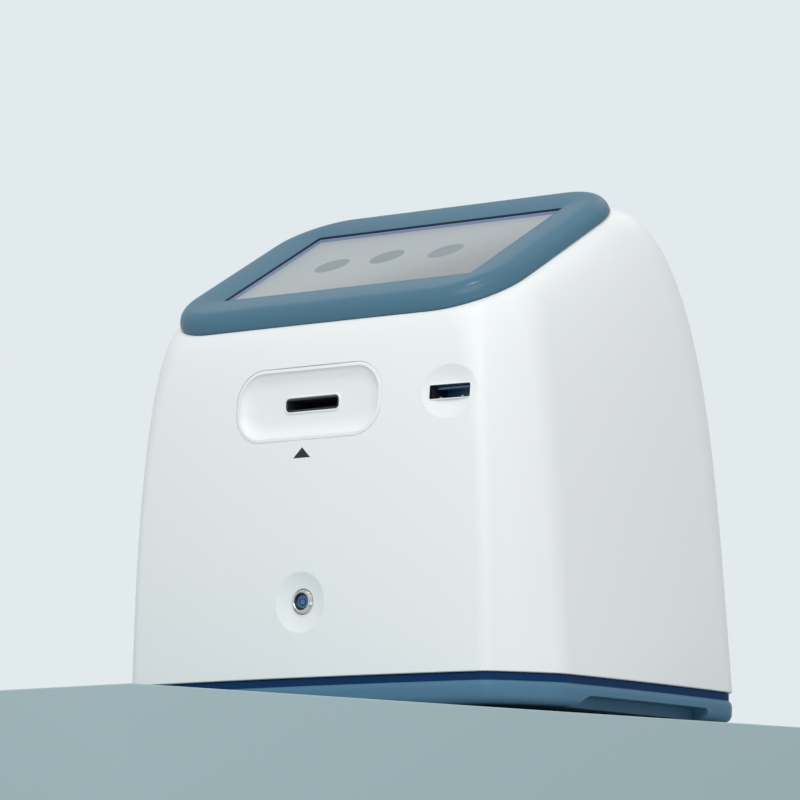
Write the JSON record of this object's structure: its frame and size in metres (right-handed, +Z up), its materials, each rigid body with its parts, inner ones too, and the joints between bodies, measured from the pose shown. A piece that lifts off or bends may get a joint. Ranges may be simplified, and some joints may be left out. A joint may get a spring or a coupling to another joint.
{
  "type": "automated cell counter",
  "caption": "Bench-top automated cell counter: white housing, tilted touch screen in a steel blue frame, chamber port, service socket, lit button, focusing microscope inside.",
  "frame": {"origin": "on the table under the centre of the housing", "axes": "+X to the user's right, -Y out of the front, +Z up; the feet rest on Z = 0"},
  "size_m": [0.27, 0.208, 0.2754],
  "materials": {
    "housing_white": "glossy moulded",
    "frame_blue": "satin steel blue",
    "gap_navy": "satin",
    "foot_rubber": "matt",
    "screw_steel": "zinc plated",
    "seal_lilac": "translucent silicone",
    "screen_glass": "anti-glare",
    "panel_grey": "satin",
    "bright_metal": "satin",
    "chrome_metal": "polished",
    "black_plastic": "fine texture",
    "blue_plastic": "glossy",
    "board_green": "solder mask",
    "black_anodised": "black anodised",
    "clear_glass": "polished",
    "bronze": "machined",
    "gold_brass": "nickel brass",
    "machined_aluminium": "fine machined",
    "white_board": "solder mask"
  },
  "bodies": {
    "frame": {"housing_shell": "housing_white", "shadow_gap_ring": "gap_navy", "base_tray": "frame_blue", "rubber_feet": "foot_rubber", "base_screws": "screw_steel", "screen_bezel": "frame_blue", "screen_gasket": "seal_lilac", "touch_glass": "screen_glass", "display_panel": "panel_grey", "display_bracket": "bright_metal", "bezel_screws": "screw_steel", "port_plate": "housing_white", "port_liner": "black_plastic", "port_screws": "screw_steel", "shutter_pin": "bright_metal", "shutter_spring": "bright_metal", "socket_shell": "black_anodised", "socket_tongue": "blue_plastic", "socket_board": "board_green", "button_body": "chrome_metal", "button_spring": "bright_metal", "button_nut": "screw_steel", "chassis_plate": "machined_aluminium", "optics_column": "black_anodised", "slide_stage": "machined_aluminium", "stage_guides": "black_plastic", "slide_clip": "bright_metal", "lamp_arm": "black_anodised", "condenser_lens": "clear_glass", "lamp_board": "white_board", "lamp_heatsink": "black_anodised", "guide_rods": "chrome_metal", "motor_bracket": "black_anodised", "stepper_motor": "black_anodised", "rod_bracket": "black_anodised", "screw_bearing": "bright_metal", "main_board": "board_green", "board_standoffs": "gold_brass", "network_socket": "bright_metal", "data_socket": "bright_metal", "power_inlet": "black_plastic", "rear_panel": "black_anodised", "fan_frame": "black_plastic", "frame_screws": "screw_steel"},
    "button": {"button_cap": "blue_plastic"},
    "shutter": {"shutter_flap": "black_plastic"},
    "focus": {"focus_carriage": "machined_aluminium", "guide_bushes": "bronze", "lead_nut": "bronze", "camera_tube": "black_anodised", "objective_lens": "bright_metal", "camera_module": "black_anodised"},
    "screw": {"lead_screw": "bright_metal"},
    "fan": {"fan_rotor": "black_plastic"}
  },
  "joints": [
    {"name": "power_button_press", "type": "slide", "parent": "frame", "child": "button", "axis": [0, 1, 0], "range_m": [0, 0.0012], "stiffness_N_per_m": 900, "springref_m": -0.001, "deforming": ["button_spring"]},
    {"name": "shutter_swing", "type": "hinge", "parent": "frame", "child": "shutter", "pos_m": [0.002, -0.0731, 0.1606], "axis": [1, 0, 0], "range_deg": [0, 80], "stiffness_Nm_per_rad": 0.0006, "springref_deg": -22.92},
    {"name": "lead_screw_spin", "type": "hinge", "parent": "frame", "child": "screw", "pos_m": [0.002, 0.008, 0.06], "axis": [0, 0, 1], "range_deg": [-720, 720]},
    {"name": "focus_slide", "type": "slide", "parent": "frame", "child": "focus", "axis": [0, 0, 1], "range_m": [-0.002, 0.002]},
    {"name": "fan_spin", "type": "hinge", "parent": "frame", "child": "fan", "pos_m": [0, 0.089, 0.105], "axis": [0, 1, 0], "continuous": true}
  ],
  "couplings": [
    {"joint": "lead_screw_spin", "follows": "focus_slide", "rad_per_m": 6283.2}
  ]
}
